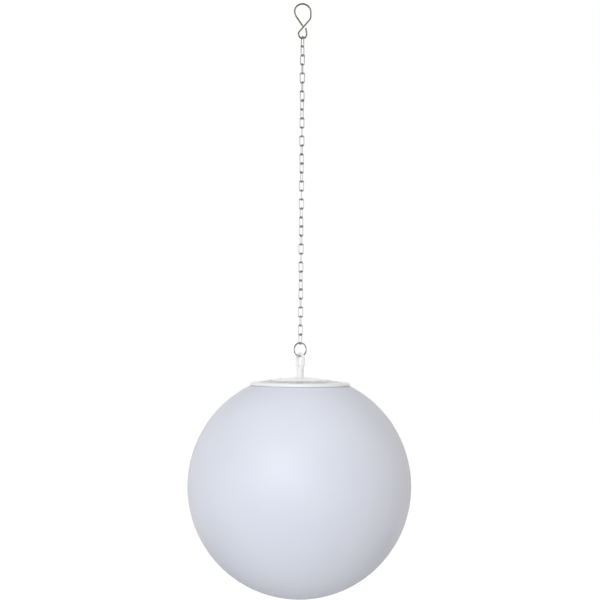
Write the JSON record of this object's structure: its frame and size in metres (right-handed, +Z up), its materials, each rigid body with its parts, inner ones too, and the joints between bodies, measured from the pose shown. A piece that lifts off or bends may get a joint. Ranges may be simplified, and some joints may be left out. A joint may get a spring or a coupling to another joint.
{
  "type": "solar hanging garden light",
  "caption": "White globe lamp that hangs by an eye and ring from a fine link chain with a wire hook, with a solar panel set in its round cap.",
  "frame": {"origin": "inside top of the hook's upper loop, where it bears on what the lamp hangs from", "axes": "+Z up along the hanging chain and the globe's axis, +X to the viewer's right, +Y away from the viewer"},
  "size_m": [0.25, 0.2498, 0.6659],
  "materials": {
    "nickel_hook": "bright nickel plate with faint drawing marks",
    "nickel_chain": "bright nickel plate",
    "white_gloss": "glossy moulded white",
    "globe_white": "satin translucent white, blow moulded",
    "zinc_steel": "zinc plate",
    "grey_rubber": "soft matt",
    "solar_board": "white board",
    "solar_cells": "dark blue cells with fine silver lines",
    "clear_window": "clear resin",
    "white_matte": "fine grained moulding",
    "green_board": "green solder mask",
    "white_board": "white solder mask",
    "board_parts": "black moulded",
    "led_yellow": "yellow phosphor",
    "battery_wrap": "plain green wrap",
    "button_grey": "soft matt",
    "lead_red": "smooth insulation"
  },
  "bodies": {
    "hook": {"top_hook": "nickel_hook"},
    "link_01": {"chain_link_01": "nickel_chain"},
    "link_02": {"chain_link_02": "nickel_chain"},
    "link_03": {"chain_link_03": "nickel_chain"},
    "link_04": {"chain_link_04": "nickel_chain"},
    "link_05": {"chain_link_05": "nickel_chain"},
    "link_06": {"chain_link_06": "nickel_chain"},
    "link_07": {"chain_link_07": "nickel_chain"},
    "link_08": {"chain_link_08": "nickel_chain"},
    "link_09": {"chain_link_09": "nickel_chain"},
    "link_10": {"chain_link_10": "nickel_chain"},
    "link_11": {"chain_link_11": "nickel_chain"},
    "link_12": {"chain_link_12": "nickel_chain"},
    "link_13": {"chain_link_13": "nickel_chain"},
    "link_14": {"chain_link_14": "nickel_chain"},
    "link_15": {"chain_link_15": "nickel_chain"},
    "link_16": {"chain_link_16": "nickel_chain"},
    "link_17": {"chain_link_17": "nickel_chain"},
    "link_18": {"chain_link_18": "nickel_chain"},
    "link_19": {"chain_link_19": "nickel_chain"},
    "link_20": {"chain_link_20": "nickel_chain"},
    "link_21": {"chain_link_21": "nickel_chain"},
    "link_22": {"chain_link_22": "nickel_chain"},
    "link_23": {"chain_link_23": "nickel_chain"},
    "link_24": {"chain_link_24": "nickel_chain"},
    "link_25": {"chain_link_25": "nickel_chain"},
    "link_26": {"chain_link_26": "nickel_chain"},
    "link_27": {"chain_link_27": "nickel_chain"},
    "link_28": {"chain_link_28": "nickel_chain"},
    "link_29": {"chain_link_29": "nickel_chain"},
    "link_30": {"chain_link_30": "nickel_chain"},
    "link_31": {"chain_link_31": "nickel_chain"},
    "link_32": {"chain_link_32": "nickel_chain"},
    "link_33": {"chain_link_33": "nickel_chain"},
    "link_34": {"chain_link_34": "nickel_chain"},
    "ring": {"jump_ring": "nickel_chain"},
    "lamp": {"hanger_eye": "white_gloss", "hanger_washer": "zinc_steel", "hanger_nut": "zinc_steel", "panel_frame": "white_gloss", "solar_board": "solar_board", "solar_cells": "solar_cells", "panel_window": "clear_window", "panel_seal": "grey_rubber", "top_cover": "white_gloss", "neck_seal": "grey_rubber", "switch_body": "board_parts", "light_housing": "white_matte", "housing_screws": "zinc_steel", "circuit_board": "green_board", "board_parts": "board_parts", "panel_leads": "lead_red", "led_boards": "white_board", "led_chips": "led_yellow", "battery_cell": "battery_wrap", "battery_contacts": "zinc_steel", "battery_cover": "white_matte", "cover_screws": "zinc_steel"},
    "globe": {"globe_shade": "globe_white"},
    "button": {"switch_button": "button_grey"}
  },
  "joints": [
    {"name": "globe_twist", "type": "hinge", "parent": "lamp", "child": "globe", "pos_m": [0, 0, -0.427], "axis": [0, 0, 1], "range_deg": [0, 30]},
    {"name": "button_press", "type": "slide", "parent": "lamp", "child": "button", "axis": [0, 0, -1], "range_m": [0, 0.001], "stiffness_N_per_m": 300},
    {"name": "lamp_swing", "type": "hinge", "parent": "ring", "child": "lamp", "pos_m": [0, 0, -0.39445], "axis": [0.8829, 0.4695, 0], "range_deg": [-75, 75]},
    {"name": "ring_swing", "type": "hinge", "parent": "link_34", "child": "ring", "pos_m": [0, 0, -0.3809], "axis": [-0.6455, 0.7638, 0], "range_deg": [-75, 75]},
    {"name": "link_01_swing", "type": "hinge", "parent": "hook", "child": "link_01", "pos_m": [0, 0, -0.0377], "axis": [0.9925, 0.1219, 0], "range_deg": [-75, 75]},
    {"name": "link_02_swing", "type": "hinge", "parent": "link_01", "child": "link_02", "pos_m": [0, 0, -0.0476], "axis": [0.5707, -0.8211, 0], "range_deg": [-75, 75]},
    {"name": "link_03_swing", "type": "hinge", "parent": "link_02", "child": "link_03", "pos_m": [0, 0, -0.0577], "axis": [0.6613, 0.7501, 0], "range_deg": [-75, 75]},
    {"name": "link_04_swing", "type": "hinge", "parent": "link_03", "child": "link_04", "pos_m": [0, 0, -0.0678], "axis": [-0.8862, 0.4633, 0], "range_deg": [-75, 75]},
    {"name": "link_05_swing", "type": "hinge", "parent": "link_04", "child": "link_05", "pos_m": [0, 0, -0.0779], "axis": [-0.2385, -0.9711, 0], "range_deg": [-75, 75]},
    {"name": "link_06_swing", "type": "hinge", "parent": "link_05", "child": "link_06", "pos_m": [0, 0, -0.088], "axis": [1, 0, 0], "range_deg": [-75, 75]},
    {"name": "link_07_swing", "type": "hinge", "parent": "link_06", "child": "link_07", "pos_m": [0, 0, -0.0981], "axis": [-0.2385, 0.9711, 0], "range_deg": [-75, 75]},
    {"name": "link_08_swing", "type": "hinge", "parent": "link_07", "child": "link_08", "pos_m": [0, 0, -0.1082], "axis": [-0.8862, -0.4633, 0], "range_deg": [-75, 75]},
    {"name": "link_09_swing", "type": "hinge", "parent": "link_08", "child": "link_09", "pos_m": [0, 0, -0.1183], "axis": [0.6613, -0.7501, 0], "range_deg": [-75, 75]},
    {"name": "link_10_swing", "type": "hinge", "parent": "link_09", "child": "link_10", "pos_m": [0, 0, -0.1284], "axis": [0.5707, 0.8211, 0], "range_deg": [-75, 75]},
    {"name": "link_11_swing", "type": "hinge", "parent": "link_10", "child": "link_11", "pos_m": [0, 0, -0.1385], "axis": [-0.9336, 0.3584, 0], "range_deg": [-75, 75]},
    {"name": "link_12_swing", "type": "hinge", "parent": "link_11", "child": "link_12", "pos_m": [0, 0, -0.1486], "axis": [-0.1253, -0.9921, 0], "range_deg": [-75, 75]},
    {"name": "link_13_swing", "type": "hinge", "parent": "link_12", "child": "link_13", "pos_m": [0, 0, -0.1587], "axis": [0.9934, 0.1149, 0], "range_deg": [-75, 75]},
    {"name": "link_14_swing", "type": "hinge", "parent": "link_13", "child": "link_14", "pos_m": [0, 0, -0.1688], "axis": [-0.3486, 0.9373, 0], "range_deg": [-75, 75]},
    {"name": "link_15_swing", "type": "hinge", "parent": "link_14", "child": "link_15", "pos_m": [0, 0, -0.1789], "axis": [-0.8271, -0.5621, 0], "range_deg": [-75, 75]},
    {"name": "link_16_swing", "type": "hinge", "parent": "link_15", "child": "link_16", "pos_m": [0, 0, -0.189], "axis": [0.7431, -0.6691, 0], "range_deg": [-75, 75]},
    {"name": "link_17_swing", "type": "hinge", "parent": "link_16", "child": "link_17", "pos_m": [0, 0, -0.1991], "axis": [0.4726, 0.8813, 0], "range_deg": [-75, 75]},
    {"name": "link_18_swing", "type": "hinge", "parent": "link_17", "child": "link_18", "pos_m": [0, 0, -0.2092], "axis": [-0.9686, 0.2487, 0], "range_deg": [-75, 75]},
    {"name": "link_19_swing", "type": "hinge", "parent": "link_18", "child": "link_19", "pos_m": [0, 0, -0.2193], "axis": [-0.0105, -0.9999, 0], "range_deg": [-75, 75]},
    {"name": "link_20_swing", "type": "hinge", "parent": "link_19", "child": "link_20", "pos_m": [0, 0, -0.2294], "axis": [0.9736, 0.2284, 0], "range_deg": [-75, 75]},
    {"name": "link_21_swing", "type": "hinge", "parent": "link_20", "child": "link_21", "pos_m": [0, 0, -0.2395], "axis": [-0.454, 0.891, 0], "range_deg": [-75, 75]},
    {"name": "link_22_swing", "type": "hinge", "parent": "link_21", "child": "link_22", "pos_m": [0, 0, -0.2496], "axis": [-0.757, -0.6534, 0], "range_deg": [-75, 75]},
    {"name": "link_23_swing", "type": "hinge", "parent": "link_22", "child": "link_23", "pos_m": [0, 0, -0.2597], "axis": [0.8151, -0.5793, 0], "range_deg": [-75, 75]},
    {"name": "link_24_swing", "type": "hinge", "parent": "link_23", "child": "link_24", "pos_m": [0, 0, -0.2698], "axis": [0.3681, 0.9298, 0], "range_deg": [-75, 75]},
    {"name": "link_25_swing", "type": "hinge", "parent": "link_24", "child": "link_25", "pos_m": [0, 0, -0.2799], "axis": [-0.9907, 0.1357, 0], "range_deg": [-75, 75]},
    {"name": "link_26_swing", "type": "hinge", "parent": "link_25", "child": "link_26", "pos_m": [0, 0, -0.29], "axis": [0.1045, -0.9945, 0], "range_deg": [-75, 75]},
    {"name": "link_27_swing", "type": "hinge", "parent": "link_26", "child": "link_27", "pos_m": [0, 0, -0.3001], "axis": [0.9409, 0.3387, 0], "range_deg": [-75, 75]},
    {"name": "link_28_swing", "type": "hinge", "parent": "link_27", "child": "link_28", "pos_m": [0, 0, -0.3102], "axis": [-0.5534, 0.8329, 0], "range_deg": [-75, 75]},
    {"name": "link_29_swing", "type": "hinge", "parent": "link_28", "child": "link_29", "pos_m": [0, 0, -0.3203], "axis": [-0.6769, -0.7361, 0], "range_deg": [-75, 75]},
    {"name": "link_30_swing", "type": "hinge", "parent": "link_29", "child": "link_30", "pos_m": [0, 0, -0.3304], "axis": [0.8763, -0.4818, 0], "range_deg": [-75, 75]},
    {"name": "link_31_swing", "type": "hinge", "parent": "link_30", "child": "link_31", "pos_m": [0, 0, -0.3405], "axis": [0.2588, 0.9659, 0], "range_deg": [-75, 75]},
    {"name": "link_32_swing", "type": "hinge", "parent": "link_31", "child": "link_32", "pos_m": [0, 0, -0.3506], "axis": [-0.9998, 0.0209, 0], "range_deg": [-75, 75]},
    {"name": "link_33_swing", "type": "hinge", "parent": "link_32", "child": "link_33", "pos_m": [0, 0, -0.3607], "axis": [0.2181, -0.9759, 0], "range_deg": [-75, 75]},
    {"name": "link_34_swing", "type": "hinge", "parent": "link_33", "child": "link_34", "pos_m": [0, 0, -0.3708], "axis": [0.8957, 0.4446, 0], "range_deg": [-75, 75]}
  ]
}
